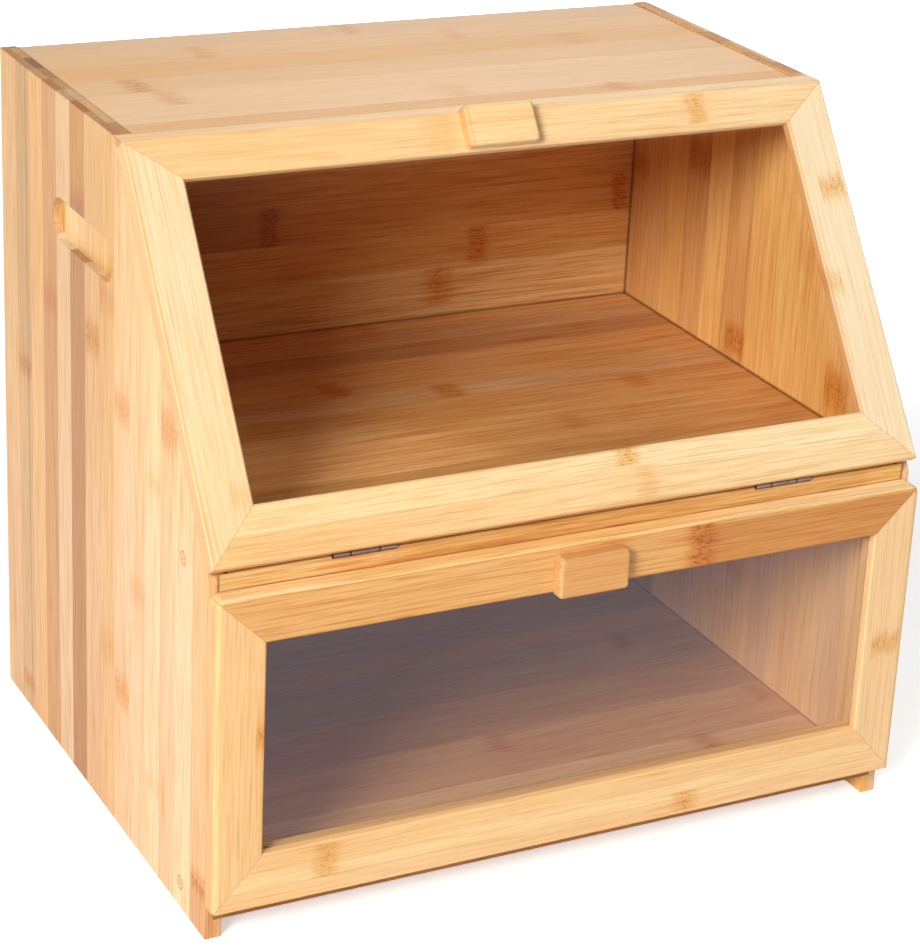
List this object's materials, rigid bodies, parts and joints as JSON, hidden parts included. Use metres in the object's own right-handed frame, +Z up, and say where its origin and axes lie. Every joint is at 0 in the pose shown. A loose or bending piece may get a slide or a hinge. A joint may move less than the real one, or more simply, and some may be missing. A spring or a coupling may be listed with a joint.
{
  "type": "bread box with drawer",
  "caption": "Bamboo bread box: a sloping drop-down door with a clear window above, and a windowed drawer below.",
  "frame": {"origin": "on the surface that the box stands on, under the middle of its overall width and depth, door and drawer closed", "axes": "+X to the right of someone facing the front, -Y out of the front, +Z up"},
  "size_m": [0.4, 0.3236, 0.3815],
  "materials": {
    "side_panel_left": "satin-lacquered laminated bamboo",
    "side_panel_right": "satin-lacquered laminated bamboo",
    "top_panel": "satin-lacquered laminated bamboo",
    "back_panel": "satin-lacquered laminated bamboo",
    "middle_shelf": "satin-lacquered laminated bamboo",
    "bottom_panel": "satin-lacquered laminated bamboo",
    "screw_steel": "zinc-plated steel",
    "side_plugs": "satin-lacquered laminated bamboo",
    "top_dowels": "plain hardwood dowel",
    "hinge_steel": "nickel-plated pressed steel",
    "door_stile_left": "satin-lacquered laminated bamboo",
    "door_stile_right": "satin-lacquered laminated bamboo",
    "door_rail_bottom": "satin-lacquered laminated bamboo",
    "door_rail_top": "satin-lacquered laminated bamboo",
    "door_pane": "clear polished acrylic",
    "door_knob": "satin-lacquered laminated bamboo",
    "drawer_stile_left": "satin-lacquered laminated bamboo",
    "drawer_stile_right": "satin-lacquered laminated bamboo",
    "drawer_rail_bottom": "satin-lacquered laminated bamboo",
    "drawer_rail_top": "satin-lacquered laminated bamboo",
    "drawer_pane": "clear polished acrylic",
    "drawer_knob": "satin-lacquered laminated bamboo",
    "drawer_side_left": "satin-lacquered laminated bamboo",
    "drawer_side_right": "satin-lacquered laminated bamboo",
    "drawer_back": "satin-lacquered laminated bamboo",
    "drawer_bottom": "satin-lacquered laminated bamboo",
    "drawer_front_dowels": "plain hardwood dowel"
  },
  "bodies": {
    "cabinet": {"side_panel_left": "side_panel_left", "side_panel_right": "side_panel_right", "top_panel": "top_panel", "back_panel": "back_panel", "middle_shelf": "middle_shelf", "bottom_panel": "bottom_panel", "side_screws": "screw_steel", "side_plugs": "side_plugs", "top_dowels": "top_dowels", "hinge_shelf_leaf_left": "hinge_steel", "hinge_shelf_leaf_right": "hinge_steel", "hinge_pin_left": "hinge_steel", "hinge_pin_right": "hinge_steel", "hinge_shelf_screws": "hinge_steel"},
    "upper_door": {"door_stile_left": "door_stile_left", "door_stile_right": "door_stile_right", "door_rail_bottom": "door_rail_bottom", "door_rail_top": "door_rail_top", "door_pane": "door_pane", "door_knob": "door_knob", "door_knob_screws": "screw_steel", "hinge_door_leaf_left": "hinge_steel", "hinge_door_leaf_right": "hinge_steel", "hinge_door_screws": "hinge_steel"},
    "drawer": {"drawer_stile_left": "drawer_stile_left", "drawer_stile_right": "drawer_stile_right", "drawer_rail_bottom": "drawer_rail_bottom", "drawer_rail_top": "drawer_rail_top", "drawer_pane": "drawer_pane", "drawer_knob": "drawer_knob", "drawer_knob_screws": "screw_steel", "drawer_side_left": "drawer_side_left", "drawer_side_right": "drawer_side_right", "drawer_back": "drawer_back", "drawer_bottom": "drawer_bottom", "drawer_front_dowels": "drawer_front_dowels", "drawer_back_screws": "screw_steel"}
  },
  "joints": [
    {"name": "upper_door_hinge", "type": "hinge", "parent": "cabinet", "child": "upper_door", "pos_m": [0, -0.14355, 0.1985], "axis": [1, 0, 0], "range_deg": [0, 120]},
    {"name": "drawer_slide", "type": "slide", "parent": "cabinet", "child": "drawer", "axis": [0, -1, 0], "range_m": [0, 0.21]}
  ]
}
